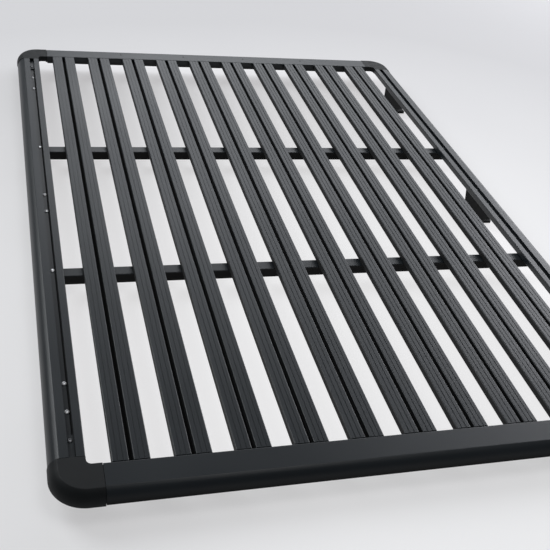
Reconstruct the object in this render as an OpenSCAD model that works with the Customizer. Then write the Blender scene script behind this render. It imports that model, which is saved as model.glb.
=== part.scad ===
// Flat platform roof rack: a closed frame of two side rails and two end rails joined by corner
// pieces, ten T-slotted slats over two cross bars, and six bent mounting brackets.
// Units are mm. X runs across, Y lengthwise with -Y at the front, Z is up. The origin is the centre
// of the footprint on the level that the foot pads stand on.

/* [Slats] */
// Number of lengthwise slats
slat_count = 10; // [4:1:16]
// Width of one slat across its top
slat_w = 67; // [50:1:90]
// Open width between two neighbouring slats
slat_gap = 43; // [25:1:80]
// Depth of a slat from its top to its underside
slat_h = 16.5; // [16:0.5:24]
// Free length of the slats between the two end rails
slat_len = 1700; // [900:10:2400]
// Width of the slot mouth along the middle of a slat
slot_w = 8; // [6:0.5:10]
// Inner width of the slot under its lips
slot_inner_w = 15; // [12:0.5:18]
// Depth of the slot floor below the slat top
slot_depth = 13; // [9:0.5:13.5]
// Fine grooves along each of the two strips of a slat
groove_count = 2; // [0:1:5]

/* [Side rails] */
// Width of a side rail over all
side_rail_w = 64; // [55:1:90]
// Depth of the rounded outer nose of every rail
nose_h = 28; // [24:1:34]
// How much the radius of the nose exceeds its depth, which sets how sharp its upper edge is
nose_over = 2; // [0.5:0.5:6]
// Width of the flat strip beside the channel
inner_strip_w = 15.5; // [12:0.5:20]
// Width of the channel mouth that takes the bolt heads
channel_w = 12.5; // [10:0.5:16]
// Depth of the channel floor below the rail top
channel_depth = 11; // [8:0.5:11]

/* [End rails] */
// Width of the front and back rails
end_rail_w = 70; // [60:1:100]
// Depth of the inner wall of an end rail
end_wall_h = 23; // [20:1:26]

/* [Corner pieces] */
// Outside radius of a rounded corner
corner_r = 64; // [40:1:64]
// How far a corner piece reaches along the side rail past the end rail
corner_reach_y = 18; // [10:1:40]
// How far a corner piece reaches along the end rail past the side rail
corner_reach_x = 27; // [10:1:60]
// Radius of the fillet in the inner corner
corner_fillet = 10; // [4:1:10]
// How far the corner piece stands proud of the rail noses
corner_proud = 1.2; // [0.5:0.1:3]

/* [Cross bars] */
// Width of a cross bar
bar_w = 30; // [24:1:40]
// Depth of a cross bar
bar_h = 24; // [18:1:36]
// Distance of each cross bar from the nearer end of the slats
bar_inset = 572; // [150:1:800]

/* [Mounting brackets] */
// Distance of the outer brackets from the nearer end of the slats
bracket_inset = 175; // [160:5:400]
// Length of a bracket along the rail
bracket_len = 188; // [120:1:220]
// Length of a bracket at its foot
foot_len = 86; // [60:1:140]
// Width of the foot flange
foot_w = 46; // [30:1:60]
// Thickness of the bracket plate
plate_t = 5; // [4:0.5:8]
// Spacing of the two bolts of a bracket
bolt_pitch = 75; // [50:1:110]
// Thickness of the rubber pad under a foot
pad_t = 3; // [2:0.5:8]
// Height of the rack top above the pads' underside
rack_h = 70; // [60:1:120]

/* [Part shown] */
// Which named part is built

/* [Hidden] */
$fn = 48;
// wall thickness of the extrusions and of the cross bars
wall = 2.5;
slot_lip = 3;
groove_w = 1.6;
groove_depth = 1;
// rounding of the edges of the slot mouth, and of the lower and the upper long edges of a slat
slot_edge_r = 2;
slat_low_r = 3;
slat_top_r = 2;
// gap between the end of a slat and the wall of the end rail
slat_end_play = 0.6;
// rounding of the inner top edge of an end rail, and of the upper edge of every nose
rail_edge_r = 2.5;
nose_edge_r = 4;
nose_foot_r = 1;
// undercut of the rail channel under its two lips
channel_lip = 3;
channel_under = 3;
// narrow groove along the inner side of the channel floor
floor_groove_w = 3.6;
floor_groove_depth = 3;
// bolts M6 with dome heads: shank, hole, head
bolt_d = 6;
bolt_hole_d = 6.6;
head_d = 9.6;
head_h = 3.3;
head_rim = 1;
// clearance between a bolt head and the outer side of the channel mouth
head_play = 0.3;
socket_af = 4;
socket_depth = 2;
// depth of the blind thread in the channel floor, and what a bolt leaves free at its end
floor_thread = 4;
bolt_tail = 0.5;
// the tongue of a corner lies on the channel floor, and the corner screw goes through it
tongue_len = 60;
tongue_t = 3;
tongue_play = 0.4;
tongue_grip_play = 0.2;
// spigot of a corner piece in the inner chamber of an end rail, and the seam that stays open
spigot_len = 38;
spigot_play = 0.4;
seam = 0.8;
corner_screw_y = 46;
// row of holes along the top of the back rail, at row_inset from its inner wall
row_count = 4;
row_pitch = 206;
row_inset = 31;
row_hole_d = 5;
bar_edge_r = 2;
// solid end block of a cross bar: clearance to the box of the side rail's nose, spigot inside the
// bar with its clearance, height of its stud above the channel floor
block_end_play = 0.5;
block_spigot_len = 26;
block_play = 0.2;
stud_rise = 2.3;
// bracket flange under the channel floor, and inward lean of the web per mm of drop
flange_u = 12;
flange_w = 18.5;
web_lean = 0.485;
thread_play = 0.2;
foot_hole_d = 9;
foot_hole_pitch = 44;
corner_wall = 3.5;
eps = 0.01;

pitch = slat_w + slat_gap;
nose_r = nose_h + nose_over;
inner_w = slat_count * slat_w + (slat_count + 1) * slat_gap;
side_len = slat_len - 2 * (corner_reach_y + seam);
end_len = inner_w - 2 * (corner_reach_x + seam);
// underside of the slats and of the channel floor, where cross bars and brackets lie
seat_z = rack_h - slat_h;
// distance of the bolt line from the inner edge of a side rail
bolt_u = inner_strip_w + channel_w - head_play - head_d / 2;
bolt_x = inner_w / 2 + bolt_u;
floor_z = rack_h - channel_depth;
// inner side of the nose box, measured from the inner edge of a side rail
box_u = inner_strip_w + channel_w + channel_under;
// a cross bar ends under the side rail's strip, its end block goes on to the nose box
bar_len = inner_w + 2 * inner_strip_w;
block_len = box_u - block_end_play - inner_strip_w;
// bracket levels below the rack top, and distances from the inner edge of the side rail
web_top_z = -slat_h - plate_t;
foot_z = pad_t - rack_h;
web_u = flange_u + flange_w;
// width of the leaning web measured level
web_w = plate_t * sqrt(1 + web_lean * web_lean);
foot_u = web_u - web_w - web_lean * (web_top_z - foot_z);
foot_mid_u = foot_u + foot_w / 2;
foot_hole_u = foot_mid_u + foot_w / 8;
// radius of the sphere of a bolt head, so that the dome ends on the rim of the head
head_dome_r = (head_d * head_d / 4 + pow(head_h - head_rim, 2)) / (2 * (head_h - head_rim));
bracket_y = slat_len / 2 - bracket_inset;
bar_y = slat_len / 2 - bar_inset;
bracket_ys = [-bracket_y, 0, bracket_y];
bar_ys = [-bar_y, bar_y];
bolt_ys = [for (y = bracket_ys, s = [-0.5, 0.5]) y + s * bolt_pitch];
screw_y = slat_len / 2 - corner_reach_y - corner_screw_y;
row_xs = [for (i = [0 : row_count - 1]) (i - (row_count - 1) / 2) * row_pitch];
bracket_names = ["front", "middle", "rear"];

SLAT_NODES = [for (i = [1 : slat_count]) str("slat_", i)];
BRACKET_NODES = [
    for (side = ["left", "right"], place = bracket_names) str("bracket_", side, "_", place)
];

coat = [0.20, 0.21, 0.22];
moulded = [0.08, 0.08, 0.09];
steel = [0.12, 0.12, 0.13];
bright = [0.75, 0.76, 0.78];
rubber = [0.05, 0.05, 0.05];

// Bar outline w wide and h deep, hanging below z = 0, with rounded lower and upper edges
module bar_outline(w, h, low_r, top_r) {
    difference() {
        translate([-w / 2, -h]) square([w, h]);
        for (s = [-1, 1]) {
            round_off(s * w / 2, -h, -s, 1, low_r);
            round_off(s * w / 2, 0, -s, -1, top_r);
        }
    }
}

// What a rounding of radius r takes off the outline corner at [x, y]; sx, sy point to the inside
module round_off(x, y, sx, sy, r) {
    difference() {
        translate([x + (sx > 0 ? -1 : -r), y + (sy > 0 ? -1 : -r)]) square(r + 1);
        translate([x + sx * r, y + sy * r]) circle(r);
    }
}

// Grooves that part a strip w wide, from x = x0 on, into equal lands
module grooves(x0, w, count) {
    for (i = [1 : 1 : count])
        translate([x0 + i * w / (count + 1) - groove_w / 2, -groove_depth])
            square([groove_w, groove_depth + 1]);
}

// Section of a slat: two grooved strips beside a T-slot, with a hollow chamber under each strip
module slat_section() {
    strip_w = (slat_w - slot_w) / 2;
    chamber_w = (slat_w - slot_inner_w) / 2 - 2 * wall;
    difference() {
        bar_outline(slat_w, slat_h, slat_low_r, slat_top_r);
        translate([-slot_w / 2, -slot_lip - eps]) square([slot_w, slot_lip + 1]);
        translate([-slot_inner_w / 2, -slot_depth]) square([slot_inner_w, slot_depth - slot_lip]);
        for (s = [-1, 1]) {
            round_off(s * slot_w / 2, 0, s, -1, slot_edge_r);
            translate([s * (slot_inner_w / 2 + wall + chamber_w / 2) - chamber_w / 2, -slat_h + wall])
                square([chamber_w, slat_h - 2 * wall - groove_depth]);
            grooves(s > 0 ? slot_w / 2 : -slat_w / 2, strip_w, groove_count);
        }
    }
}

module slat(i) {
    color(coat)
        translate([(i - (slat_count + 1) / 2) * pitch, 0, rack_h])
            rotate([90, 0, 0])
                linear_extrude(slat_len - 2 * slat_end_play, center = true) slat_section();
}

// Outline of the nose from u = from to the outer edge u = w; z = 0 is the rail top. The arc of the
// nose has its centre h below the top and meets it at an edge; the foot may reach on below.
module nose_outline(from, w, r, h, below = 0) {
    // centre and touching points of the small circle that rounds the upper edge
    edge_x = w - r + sqrt(pow(r - nose_edge_r, 2) - pow(h - nose_edge_r, 2));
    turn = asin((h - nose_edge_r) / (r - nose_edge_r));
    difference() {
        translate([from, -h - below]) square([w - from, h + below]);
        difference() {
            translate([w - r, -h]) square([r + 1, h + 1]);
            translate([w - r, -h]) circle(r);
        }
        difference() {
            polygon([
                [edge_x, -nose_edge_r / 2],
                [edge_x, 1],
                [edge_x + nose_edge_r, 1],
                [edge_x + nose_edge_r * cos(turn), -nose_edge_r * (1 - sin(turn))]
            ]);
            translate([edge_x, -nose_edge_r]) circle(nose_edge_r);
        }
        round_off(w, -h - below, -1, 1, nose_foot_r);
    }
}

// Section of a side rail, u outwards from its inner edge
module side_section() {
    mouth_u = inner_strip_w;
    difference() {
        union() {
            translate([0, -slat_h]) square([box_u + wall, slat_h]);
            nose_outline(box_u, side_rail_w, nose_r, nose_h);
        }
        round_off(0, -slat_h, 1, 1, slat_low_r);
        round_off(0, 0, 1, -1, slat_top_r);
        translate([mouth_u, -channel_depth]) square([channel_w, channel_depth + 1]);
        translate([mouth_u - channel_under, -channel_depth])
            square([channel_w + 2 * channel_under, channel_depth - channel_lip]);
        translate([mouth_u, -channel_depth - floor_groove_depth])
            square([floor_groove_w, floor_groove_depth + 1]);
        translate([wall + 0.5, -slat_h + wall])
            square([mouth_u - channel_under - 2 * wall - 0.5, slat_h - 2 * wall]);
        // hollow of the nose box
        nose_hollow(box_u + wall, side_rail_w);
    }
}

module nose_hollow(from, w) {
    difference() {
        translate([from, -nose_h + wall]) square([w - wall - from, nose_h - 2 * wall]);
        difference() {
            translate([w - nose_r, -nose_h]) square([nose_r, nose_h]);
            translate([w - nose_r, -nose_h]) circle(nose_r - wall);
        }
    }
}

module side_rail(s) {
    color(coat)
        difference() {
            translate([s * inner_w / 2, 0, rack_h])
                mirror([s < 0 ? 1 : 0, 0, 0])
                    rotate([90, 0, 0])
                        linear_extrude(side_len, center = true) side_section();
            for (y = concat(bolt_ys, bar_ys))
                translate([s * bolt_x, y, seat_z - 1])
                    cylinder(d = bolt_hole_d, h = slat_h - channel_depth + 2);
            for (y = [-screw_y, screw_y])
                translate([s * bolt_x, y, floor_z - floor_thread])
                    cylinder(d = bolt_d + thread_play, h = floor_thread + 1);
        }
}

// Section of an end rail, u outwards from its inner wall
module end_section() {
    difference() {
        union() {
            translate([0, -end_wall_h]) square([end_rail_w / 2, end_wall_h]);
            nose_outline(end_rail_w / 3, end_rail_w, nose_r, nose_h);
        }
        round_off(0, 0, 1, -1, rail_edge_r);
        round_off(0, -end_wall_h, 1, 1, slat_top_r);
        translate([wall, -end_wall_h + wall])
            square([end_rail_w / 3, end_wall_h - 2 * wall]);
        nose_hollow(end_rail_w / 3 + wall, end_rail_w);
    }
}

module end_rail(s) {
    color(coat)
        difference() {
            translate([0, s * slat_len / 2, rack_h])
                mirror([0, s < 0 ? 1 : 0, 0])
                    rotate([90, 0, 90])
                        linear_extrude(end_len, center = true) end_section();
            if (s > 0)
                for (x = row_xs)
                    translate([x, slat_len / 2 + row_inset, rack_h - wall - 1])
                        cylinder(d = row_hole_d, h = wall + 2);
        }
}

// Corner piece of the right back corner. Its local origin is the inner corner of the frame, with
// the top at z = 0. The nose runs on from the rails, larger by grow, with its arc centre h below;
// its arms begin at from, measured from the inner edges of the rails.
module corner_solid(from, grow, h, below) {
    w = side_rail_w + grow;
    l = end_rail_w + grow;
    r = corner_r + grow;
    nr = nose_r + grow;
    translate([w - r, l - r, 0])
        rotate_extrude(angle = 90)
            nose_outline(0, r, nr, h, below);
    // arm along the end rail
    translate([-corner_reach_x, 0, 0])
        rotate([90, 0, 90])
            linear_extrude(corner_reach_x + w - r) nose_outline(from, l, nr, h, below);
    // arm along the side rail
    translate([0, l - r, 0])
        rotate([90, 0, 0])
            linear_extrude(corner_reach_y + l - r) nose_outline(from, w, nr, h, below);
}

// What is hollow under the top of a corner piece, behind the end walls of its two arms
module corner_hollow() {
    reach_x = corner_reach_x - corner_wall;
    reach_y = corner_reach_y - corner_wall;
    intersection() {
        translate([0, 0, -corner_wall])
            corner_solid(corner_wall, corner_proud - corner_wall, nose_h - corner_wall, nose_h);
        translate([-reach_x, -reach_y, -2 * nose_h])
            cube([reach_x + side_rail_w, reach_y + end_rail_w, 2 * nose_h]);
    }
}

// Fillet in the inner corner, between the two arms
module fillet_block() {
    translate([0, 0, -nose_h])
        linear_extrude(nose_h)
            difference() {
                translate([-corner_fillet, -corner_fillet]) square(corner_fillet + 1);
                translate([-corner_fillet, -corner_fillet]) circle(corner_fillet);
            }
}

module corner(sx, sy) {
    color(moulded)
        translate([sx * inner_w / 2, sy * slat_len / 2, rack_h])
            mirror([sx < 0 ? 1 : 0, 0, 0])
                mirror([0, sy < 0 ? 1 : 0, 0])
                    difference() {
                        union() {
                            difference() {
                                union() {
                                    corner_solid(0, corner_proud, nose_h, corner_proud);
                                    fillet_block();
                                }
                                corner_hollow();
                                // the walls around the inner corner are no deeper than the slats
                                translate([-corner_reach_x - 1, -corner_reach_y - 1, -slat_h - nose_h])
                                    cube([
                                        corner_reach_x + 1 + box_u,
                                        corner_reach_y + 1 + end_rail_w / 3,
                                        nose_h
                                    ]);
                            }
                            spigot();
                        }
                        tongue(tongue_grip_play);
                    }
}

// Tongue on the channel floor of the side rail, held in the end wall of a corner piece; play is
// what its slot there is larger all round
module tongue(play = 0) {
    translate([
        inner_strip_w + tongue_play - play,
        -corner_reach_y - tongue_len,
        -channel_depth - play
    ])
        cube([
            channel_w - 2 * tongue_play + 2 * play,
            tongue_len + corner_wall + play,
            tongue_t + 2 * play
        ]);
}

module corner_tongues() {
    color(coat)
        for (sx = [-1, 1], sy = [-1, 1])
            translate([sx * inner_w / 2, sy * slat_len / 2, rack_h])
                mirror([sx < 0 ? 1 : 0, 0, 0])
                    mirror([0, sy < 0 ? 1 : 0, 0])
                        difference() {
                            tongue();
                            translate([bolt_u, -corner_reach_y - corner_screw_y, -slat_h])
                                cylinder(d = bolt_hole_d, h = slat_h);
                        }
}

// Spigot that fits the inner chamber of the end rail
module spigot() {
    play = wall + spigot_play;
    translate([-corner_reach_x - seam - spigot_len, play, -end_wall_h + play])
        cube([spigot_len + seam + corner_wall, end_rail_w / 3 - 2 * spigot_play, end_wall_h - 2 * play]);
}

module cross_bar(s) {
    color(coat)
        translate([0, s * bar_y, seat_z])
            rotate([90, 0, 90])
                linear_extrude(bar_len, center = true)
                    difference() {
                        bar_outline(bar_w, bar_h, bar_edge_r, bar_edge_r);
                        translate([-bar_w / 2 + wall, -bar_h + wall])
                            square([bar_w - 2 * wall, bar_h - 2 * wall]);
                    }
}

// Solid blocks that end the cross bars; their studs come up through the channel floors
module cross_bar_end_blocks() {
    inset = wall + block_play;
    color(coat)
        for (side = [0, 1], s = [-1, 1])
            translate([0, s * bar_y, seat_z])
                mirror([side, 0, 0])
                    union() {
                        translate([bar_len / 2, 0, 0])
                            rotate([90, 0, 90])
                                linear_extrude(block_len)
                                    bar_outline(bar_w, bar_h, bar_edge_r, bar_edge_r);
                        translate([bar_len / 2 - block_spigot_len, -bar_w / 2 + inset, -bar_h + inset])
                            cube([block_spigot_len + 1, bar_w - 2 * inset, bar_h - 2 * inset]);
                        translate([bolt_x, 0, -1])
                            cylinder(d = bolt_d, h = slat_h - channel_depth + stud_rise + 1);
                    }
}

// Bent plate seen along the rail: flange under the channel floor, leaning web, foot flange.
// u runs outwards from the inner edge of the rail, z = 0 is the rail top.
module bracket_profile() {
    polygon([
        [flange_u, -slat_h],
        [web_u, -slat_h],
        [web_u, web_top_z],
        [web_u - web_lean * (web_top_z - foot_z - plate_t), foot_z + plate_t],
        [foot_u + foot_w, foot_z + plate_t],
        [foot_u + foot_w, foot_z],
        [foot_u, foot_z],
        [web_u - web_w, web_top_z],
        [flange_u, web_top_z]
    ]);
}

module bracket(s, y) {
    color(steel)
        translate([s * inner_w / 2, y, rack_h])
            mirror([s < 0 ? 1 : 0, 0, 0])
                difference() {
                    intersection() {
                        rotate([90, 0, 0])
                            linear_extrude(bracket_len, center = true) bracket_profile();
                        // the ends taper from the flange down to the foot
                        rotate([90, 0, 90])
                            linear_extrude(4 * foot_w, center = true)
                                polygon([
                                    [-bracket_len / 2, 0],
                                    [-bracket_len / 2, web_top_z],
                                    [-foot_len / 2, foot_z + plate_t],
                                    [-foot_len / 2, foot_z - 1],
                                    [foot_len / 2, foot_z - 1],
                                    [foot_len / 2, foot_z + plate_t],
                                    [bracket_len / 2, web_top_z],
                                    [bracket_len / 2, 0]
                                ]);
                    }
                    for (k = [-0.5, 0.5]) {
                        translate([bolt_u, k * bolt_pitch, -slat_h - plate_t - 1])
                            cylinder(d = bolt_d + thread_play, h = plate_t + 2);
                        translate([foot_hole_u, k * foot_hole_pitch, foot_z - 1])
                            cylinder(d = foot_hole_d, h = plate_t + 2);
                    }
                }
}

module foot_pads() {
    color(rubber)
        for (s = [-1, 1], y = bracket_ys)
            translate([s * (inner_w / 2 + foot_mid_u), y, pad_t / 2])
                difference() {
                    cube([foot_w, foot_len, pad_t], center = true);
                    for (k = [-0.5, 0.5])
                        translate([s * (foot_hole_u - foot_mid_u), k * foot_hole_pitch, 0])
                            cylinder(d = foot_hole_d, h = pad_t + 2, center = true);
                }
}

// Half section of a dome head that stands on z = 0
module dome_outline() {
    square([head_d / 2, head_rim]);
    intersection() {
        translate([0, head_rim - eps]) square([head_d / 2, head_h]);
        translate([0, head_h - head_dome_r]) circle(head_dome_r);
    }
}

// Dome-headed bolt, reach long under its head, whose underside is z = 0
module bolt(reach) {
    difference() {
        rotate_extrude()
            union() {
                translate([0, -reach]) square([bolt_d / 2, reach]);
                dome_outline();
            }
        translate([0, 0, head_h - socket_depth])
            cylinder(d = socket_af / cos(30), h = socket_depth + 1, $fn = 6);
    }
}

module bracket_bolts(s) {
    color(bright)
        for (y = bolt_ys)
            translate([s * bolt_x, y, floor_z])
                bolt(slat_h - channel_depth + plate_t);
}

// Dome nuts on the studs of the cross bars' end blocks
module cross_bar_nuts() {
    color(bright)
        for (s = [-1, 1], y = bar_ys)
            translate([s * bolt_x, y, floor_z])
                difference() {
                    rotate_extrude() dome_outline();
                    translate([0, 0, -1])
                        cylinder(d = bolt_d + thread_play, h = stud_rise + thread_play + 1);
                }
}

// Screws through the tongues of the corners into blind threads in the channel floors
module corner_screws() {
    color(bright)
        for (s = [-1, 1], e = [-1, 1])
            translate([s * bolt_x, e * screw_y, floor_z + tongue_t])
                bolt(tongue_t + floor_thread - bolt_tail);
}

side_rail(-1);  // left_side_rail
side_rail(1);  // right_side_rail
end_rail(-1);  // front_rail
end_rail(1);  // back_rail
corner(-1, -1);  // corner_front_left
corner(1, -1);  // corner_front_right
corner(-1, 1);  // corner_back_left
corner(1, 1);  // corner_back_right
for (i = [1 : slat_count])
    slat(i);
cross_bar(-1);  // front_cross_bar
cross_bar(1);  // rear_cross_bar
cross_bar_end_blocks();
for (i = [0 : 5])
    bracket(i < 3 ? -1 : 1, bracket_ys[i % 3]);
foot_pads();
bracket_bolts(-1);  // bracket_bolts_left
bracket_bolts(1);  // bracket_bolts_right
cross_bar_nuts();
corner_tongues();
corner_screws();
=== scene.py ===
import bpy
from mathutils import Matrix, Vector


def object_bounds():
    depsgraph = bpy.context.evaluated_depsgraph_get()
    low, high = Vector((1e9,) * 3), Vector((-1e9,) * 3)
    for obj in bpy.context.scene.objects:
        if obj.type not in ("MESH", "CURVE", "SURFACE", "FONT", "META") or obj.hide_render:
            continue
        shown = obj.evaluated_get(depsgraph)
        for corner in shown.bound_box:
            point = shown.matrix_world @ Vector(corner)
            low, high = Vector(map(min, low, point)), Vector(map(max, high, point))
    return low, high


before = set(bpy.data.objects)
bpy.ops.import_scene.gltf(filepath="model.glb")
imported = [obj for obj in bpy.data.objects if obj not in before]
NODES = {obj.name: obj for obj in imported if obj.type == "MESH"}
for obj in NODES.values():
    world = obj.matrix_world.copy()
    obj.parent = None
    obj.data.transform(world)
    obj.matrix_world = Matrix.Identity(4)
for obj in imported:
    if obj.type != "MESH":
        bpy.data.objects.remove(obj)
cad_lo, cad_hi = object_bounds()

# Measures of the rack in metres, for the places where shade is painted into its coat
RACK_TOP = cad_hi[2]
SLAT_PITCH = 0.110
SLAT_DEPTH = 0.0165
INNER_HALF = 0.5715  # from the rack's middle to the inner face of a side rail
CHANNEL_MIDDLE = INNER_HALF + 0.0218
CHANNEL_EDGES = 0.0063, 0.0060  # from the channel's middle: just outside it, just inside it
SLOT_EDGES = 0.041, 0.037  # the same from the middle of a slat's slot, in slat pitches


# Node materials

class Shader:
    """A new node material with one Principled shader, and short calls for nodes that feed it."""

    def __init__(self, name, roughness=0.5, metallic=0.0, ior=1.5):
        self.mat = bpy.data.materials.new(name)
        self.mat.use_nodes = True
        self.tree = self.mat.node_tree
        self.tree.nodes.clear()
        self.out = self.add("ShaderNodeOutputMaterial")
        self.bsdf = self.add("ShaderNodeBsdfPrincipled")
        self.bsdf.inputs["Roughness"].default_value = roughness
        self.bsdf.inputs["Metallic"].default_value = metallic
        self.bsdf.inputs["IOR"].default_value = ior
        self.link(self.bsdf.outputs[0], self.out.inputs["Surface"])
        self.coords = self.add("ShaderNodeTexCoord").outputs["Object"]

    def add(self, kind, **props):
        node = self.tree.nodes.new(kind)
        for key, value in props.items():
            setattr(node, key, value)
        return node

    def link(self, source, target):
        self.tree.links.new(source, target)

    def noise(self, scale, detail=3.0, rough=0.5):
        node = self.add("ShaderNodeTexNoise")
        node.inputs["Scale"].default_value = scale
        node.inputs["Detail"].default_value = detail
        node.inputs["Roughness"].default_value = rough
        self.link(self.coords, node.inputs["Vector"])
        return node.outputs["Fac"]

    def cells(self, scale):
        node = self.add("ShaderNodeTexVoronoi", feature="F1")
        node.inputs["Scale"].default_value = scale
        self.link(self.coords, node.inputs["Vector"])
        return node.outputs["Distance"]

    def axis(self, name):
        node = self.add("ShaderNodeSeparateXYZ")
        self.link(self.coords, node.inputs[0])
        return node.outputs[name]

    def maths(self, operation, a, b=0.0):
        node = self.add("ShaderNodeMath", operation=operation)
        for socket, value in zip(node.inputs, (a, b)):
            if isinstance(value, (int, float)):
                socket.default_value = value
            else:
                self.link(value, socket)
        return node.outputs[0]

    def off(self, value, middle):
        """How far value is from middle, to either side."""
        return self.maths("ABSOLUTE", self.maths("SUBTRACT", value, middle))

    def remap(self, value, low, high, to_low=0.0, to_high=1.0):
        """to_low where value is low, to_high where it is high, and nothing beyond these two."""
        node = self.add("ShaderNodeMapRange")
        ends = {"From Min": low, "From Max": high, "To Min": to_low, "To Max": to_high}
        for key, number in ends.items():
            node.inputs[key].default_value = number
        self.link(value, node.inputs["Value"])
        return node.outputs["Result"]

    def varied(self, noise, low, high):
        """A number that follows a noise from low to high."""
        return self.remap(noise, 0.3, 0.7, low, high)

    def blend(self, factor, a, b):
        """Colour a where factor is 0, b where it is 1."""
        node = self.add("ShaderNodeMix", data_type="RGBA")
        self.link(factor, node.inputs[0])
        for socket, value in ((node.inputs[6], a), (node.inputs[7], b)):
            if isinstance(value, tuple):
                socket.default_value = (*value, 1)
            else:
                self.link(value, socket)
        return node.outputs[2]

    def mottled(self, noise, a, b):
        """A colour that follows a noise from a to b."""
        return self.blend(self.remap(noise, 0.35, 0.65), a, b)

    def bump(self, height, strength, distance, under=None):
        """A bumpy normal, on top of another bump's if that is given; distance in metres."""
        node = self.add("ShaderNodeBump")
        node.inputs["Strength"].default_value = strength
        node.inputs["Distance"].default_value = distance
        self.link(height, node.inputs["Height"])
        if under:
            self.link(under, node.inputs["Normal"])
        return node.outputs[0]

    def colour(self, value):
        self.link(value, self.bsdf.inputs["Base Color"])

    def rough(self, value):
        self.link(value, self.bsdf.inputs["Roughness"])

    def normal(self, value):
        self.link(value, self.bsdf.inputs["Normal"])


def slot_band(s):
    """1 inside the slot that runs along the middle of a slat, 0 beside it."""
    place = s.maths("FRACT", s.maths("DIVIDE", s.axis("X"), SLAT_PITCH))
    return s.remap(s.off(place, 0.5), *SLOT_EDGES)


def channel_band(s):
    """1 inside the channel of a side rail, 0 beside it."""
    return s.remap(s.off(s.maths("ABSOLUTE", s.axis("X")), CHANNEL_MIDDLE), *CHANNEL_EDGES)


def below(s, top, bottom):
    """0 down to the depth top under the top of the rack, 1 from the depth bottom down."""
    return s.remap(s.axis("Z"), RACK_TOP - top, RACK_TOP - bottom)


def powder_coat(name, dark, light, speck, rough, grain=1.0, recess_shade=None, painted_shade=None):
    """Fine-textured powder coat: orange peel, grain, tiny specks.

    The painted shade for a recessed band, given as (band, top, bottom), makes it darker and
    duller inside the band, from top to bottom.
    The painted shade over the whole piece, given as (top, bottom, amount), makes it darker and
    duller everywhere, from top to bottom.
    Both depths are counted from the top of the rack."""
    speck_share, rough_spread = 0.15, 0.03
    s = Shader(name, ior=1.36)
    broad = s.noise(2.6, detail=2)
    specks = s.remap(s.noise(1500, detail=2, rough=0.6), 0.60, 0.74)
    colour = s.mottled(broad, dark, light)
    colour = s.blend(s.maths("MULTIPLY", specks, speck_share), colour, speck)
    shine = s.varied(broad, rough - rough_spread, rough + rough_spread)

    # Painted shade: these masks blend the coat towards near-black and make it duller, standing
    # in for shade in slots and channels and on faces below the top.
    masks = []
    if recess_shade:
        band, top, bottom = recess_shade
        inside = s.maths("MULTIPLY", band(s), below(s, top, bottom))
        masks.append((inside, (0.004, 0.004, 0.004), 0.45))
    if painted_shade:
        top, bottom, amount = painted_shade
        inside = s.maths("MULTIPLY", below(s, top, bottom), amount)
        masks.append((inside, (0.002, 0.002, 0.002), 0.5))
    for inside, black, duller in masks:
        colour = s.blend(inside, colour, black)
        shine = s.maths("ADD", shine, s.maths("MULTIPLY", inside, duller))
    s.colour(colour)
    s.rough(shine)

    peel = s.bump(s.noise(420), strength=0.12 * grain, distance=0.00010)
    fine = s.noise(1300, detail=2, rough=0.6)
    s.normal(s.bump(fine, strength=0.06 * grain, distance=0.00005, under=peel))
    return s.mat


def moulded_plastic(name):
    """Injection-moulded black plastic with a fine spark-eroded grain."""
    s = Shader(name, ior=1.26)
    s.colour(s.mottled(s.noise(7), (0.0045, 0.0052, 0.0057), (0.0068, 0.0077, 0.0083)))
    s.rough(s.varied(s.noise(60, detail=4), 0.50, 0.60))
    pits = s.bump(s.cells(1100), strength=0.28, distance=0.00010)
    s.normal(s.bump(s.noise(500), strength=0.18, distance=0.00010, under=pits))
    return s.mat


def bare_metal(name, bright, dull, rough):
    """Bare steel with a fine grain and light smudges."""
    rough_spread = 0.06
    s = Shader(name, metallic=1.0)
    s.colour(s.blend(s.remap(s.noise(160), 0.35, 0.7), bright, dull))
    s.rough(s.varied(s.noise(900), rough - rough_spread, rough + rough_spread))
    s.normal(s.bump(s.noise(2400, detail=2), strength=0.12, distance=0.00004))
    return s.mat


def rubber(name):
    """Matt black rubber with a pebbled skin."""
    s = Shader(name, ior=1.45)
    s.colour(s.mottled(s.noise(30, detail=4), (0.012, 0.012, 0.012), (0.024, 0.024, 0.023)))
    s.rough(s.varied(s.noise(90), 0.72, 0.86))
    s.normal(s.bump(s.cells(700), strength=0.4, distance=0.00015))
    return s.mat


# dark, light, speck, rough
SATIN = (0.0062, 0.0085, 0.0106), (0.0085, 0.0110, 0.0134), (0.035, 0.037, 0.040), 0.38
# The bracket plates' matt coat; its near-black is partly painted shade, for their place in the
# shade under the side rails.
MATT_AND_SHADE = (0.0022, 0.0024, 0.0026), (0.0036, 0.0038, 0.0040), (0.010, 0.010, 0.010), 0.78

# Painted shade: where these coats are painted darker to stand in for shade, in the slats' slots,
# on the slats' sides, on the cross bars under the slats, low on the front and back rails, and
# deep in the side rails' channels.
SLOT_SHADE = slot_band, 0.0015, 0.006
SLAT_SIDE_SHADE = 0.0018, 0.0032, 0.85
BAR_SHADE_UNDER_SLATS = SLAT_DEPTH + 0.0008, SLAT_DEPTH + 0.0022, 0.97
END_RAIL_SIDE_SHADE = 0.008, 0.024, 0.95
CHANNEL_SHADE = channel_band, 0.0112, 0.0120

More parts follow.
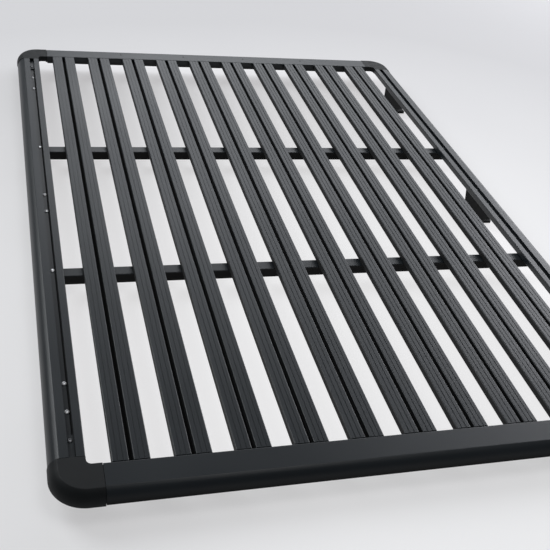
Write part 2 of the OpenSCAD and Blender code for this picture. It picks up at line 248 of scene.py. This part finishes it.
coat = powder_coat("satin_powder_coat", *SATIN)
slat_coat_and_shade = powder_coat("slat_powder_coat", *SATIN, recess_shade=SLOT_SHADE, painted_shade=SLAT_SIDE_SHADE)
bar_coat_and_shade = powder_coat("bar_powder_coat", *SATIN, painted_shade=BAR_SHADE_UNDER_SLATS)
end_coat_and_shade = powder_coat("end_rail_powder_coat", *SATIN, painted_shade=END_RAIL_SIDE_SHADE)
rail_coat_and_shade = powder_coat("rail_powder_coat", *SATIN, recess_shade=CHANNEL_SHADE)
plate_coat_and_shade = powder_coat("plate_powder_coat", *MATT_AND_SHADE, grain=1.4)
plastic = moulded_plastic("grained_plastic")
steel = bare_metal("stainless_steel", (0.97, 0.97, 0.98), (0.90, 0.90, 0.91), 0.62)
dull_steel = bare_metal("dull_steel", (0.30, 0.30, 0.31), (0.22, 0.22, 0.23), 0.45)
pad_rubber = rubber("pad_rubber")

# A node takes the material of the first line that its name starts with
LOOKS = (
    ("left_side_rail", rail_coat_and_shade),
    ("right_side_rail", rail_coat_and_shade),
    ("front_rail", end_coat_and_shade),
    ("back_rail", end_coat_and_shade),
    ("slat_", slat_coat_and_shade),
    ("front_cross_bar", bar_coat_and_shade),
    ("rear_cross_bar", bar_coat_and_shade),
    ("cross_bar_end_blocks", bar_coat_and_shade),
    ("cross_bar_nuts", steel),
    ("corner_screws", dull_steel),
    ("corner_tongues", coat),
    ("corner_", plastic),
    ("bracket_bolts", steel),
    ("bracket_", plate_coat_and_shade),
    ("foot_pads", pad_rubber),
)
for name, node in NODES.items():
    look = next(material for start, material in LOOKS if name.startswith(start))
    for slot in node.material_slots:
        slot.material = look


# The studio: floor, lamps, world, camera

def add_object(name, data):
    obj = bpy.data.objects.new(name, data)
    bpy.context.scene.collection.objects.link(obj)
    return obj


FLOOR_HALF = 14.0
# Painted pool of light: the floor's colour and glow are brightest around this spot and fall off
# away from it
LIGHT_POOL_X, LIGHT_POOL_Y = 0.25, -0.6  # where the floor is brightest
GLOW_SHARE = 0.55
# The part of the floor that shows through the rack glows brighter still, a painted pool of light
# that lifts the rack's shadow there; its middle lies a little to the right of the rack's and to
# the back, because the camera looks down aslant
LIT_X, LIT_Y = 0.04, 0.07
LIT_HALF_X, LIT_HALF_Y = 0.615, 0.90
LIT_FADE = 1.05
LIT_GAIN = 1.38


def floor_material():
    """Pale paper with a painted pool of light; what the camera or a reflection shows of it is
    partly its own glow, which is painted light.
    """
    s = Shader("floor_paper", roughness=0.9, ior=1.2)
    s.bsdf.inputs["Specular IOR Level"].default_value = 0.0
    dx, dy = s.off(s.axis("X"), LIGHT_POOL_X), s.off(s.axis("Y"), LIGHT_POOL_Y)
    far = s.maths("ADD", s.maths("MULTIPLY", dx, dx), s.maths("MULTIPLY", dy, dy))
    far = s.maths("ADD", s.maths("SQRT", far), s.varied(s.noise(1.3, detail=2), -0.04, 0.04))
    # Painted pool of light: the paper is paler near the bright spot and greyer far from it
    s.colour(s.blend(s.remap(far, 0.7, 2.4), (0.80, 0.80, 0.81), (0.70, 0.70, 0.71)))

    # Painted light: the floor glows, more near the bright spot and most under the rack
    glow = s.add("ShaderNodeEmission")
    light = s.blend(s.remap(far, 0.5, 2.0), (0.96, 0.955, 0.96), (0.50, 0.49, 0.50))
    s.link(light, glow.inputs["Color"])
    across = s.maths("DIVIDE", s.off(s.axis("X"), LIT_X), LIT_HALF_X)
    along = s.maths("DIVIDE", s.off(s.axis("Y"), LIT_Y), LIT_HALF_Y)
    gain = s.remap(s.maths("MAXIMUM", across, along), 1.0, LIT_FADE, LIT_GAIN, 1.0)
    s.link(gain, glow.inputs["Strength"])

    path = s.add("ShaderNodeLightPath")
    seen = s.maths("MAXIMUM", path.outputs["Is Camera Ray"], path.outputs["Is Glossy Ray"])
    seen = s.maths("MAXIMUM", seen, path.outputs["Is Transmission Ray"])
    mix = s.add("ShaderNodeMixShader")
    s.link(s.maths("MULTIPLY", seen, GLOW_SHARE), mix.inputs[0])
    s.link(s.bsdf.outputs[0], mix.inputs[1])
    s.link(glow.outputs[0], mix.inputs[2])
    s.link(mix.outputs[0], s.out.inputs["Surface"])
    return s.mat


mesh = bpy.data.meshes.new("floor")
square = (-1, -1), (1, -1), (1, 1), (-1, 1)
mesh.from_pydata([(x * FLOOR_HALF, y * FLOOR_HALF, 0) for x, y in square], [], [(0, 1, 2, 3)])
mesh.materials.append(floor_material())
obj = add_object("floor", mesh)

# name, place, point that it faces, size, watts, colour
LAMPS = (
    ("key", (-2.8, 2.5, 3.2), (0, 0, 0), (2.6, 2.6), 150, (0.95, 0.98, 1.0)),
    ("overhead", (0.5, -0.9, 3.0), (0.2, -0.5, 0), (1.6, 1.6), 22, (1.0, 1.0, 1.0)),
    ("back_wall", (2.35, 4.4, 2.6), (0.2, 0, 0.2), (6.4, 2.6), 142, (0.94, 0.96, 1.0)),
    ("right_wall", (3.6, 1.6, 1.4), (0.2, -0.2, 0.1), (3.0, 2.0), 95, (0.95, 0.95, 1.0)),
)
for name, place, target, size, power, colour in LAMPS:
    data = bpy.data.lights.new(name, "AREA")
    data.shape = "RECTANGLE"
    data.size, data.size_y = size
    data.energy = power
    data.color = colour
    lamp = add_object(name, data)
    lamp.location = place
    lamp.rotation_euler = (Vector(target) - Vector(place)).to_track_quat("-Z", "Y").to_euler()

world = bpy.data.worlds.new("studio")
bpy.context.scene.world = world
world.use_nodes = True
air = world.node_tree.nodes["Background"]
air.inputs["Color"].default_value = (0.88, 0.94, 1.0, 1)
air.inputs["Strength"].default_value = 0.20

# The camera, fitted to the straight edges of the rack in the photo
CAMERA_PLACE = Vector((-0.68557, -1.89241, 1.25112))
CAMERA_FORWARD = Vector((0.28643819, 0.76260713, -0.57998581))
CAMERA_UP = Vector((0.03693090, 0.59611267, 0.80205099))
CAMERA_LENS = 58.165  # mm, on a sensor 36 mm wide

camera_data = bpy.data.cameras.new("camera")
camera_data.sensor_width = 36.0
camera_data.lens = CAMERA_LENS
camera = add_object("camera", camera_data)
right = CAMERA_FORWARD.cross(CAMERA_UP).normalized()
up = right.cross(CAMERA_FORWARD).normalized()
turn = Matrix((right, up, -CAMERA_FORWARD)).transposed().to_4x4()
camera.matrix_world = Matrix.Translation(CAMERA_PLACE) @ turn
bpy.context.scene.camera = camera
bpy.context.scene.view_settings.view_transform = "Standard"
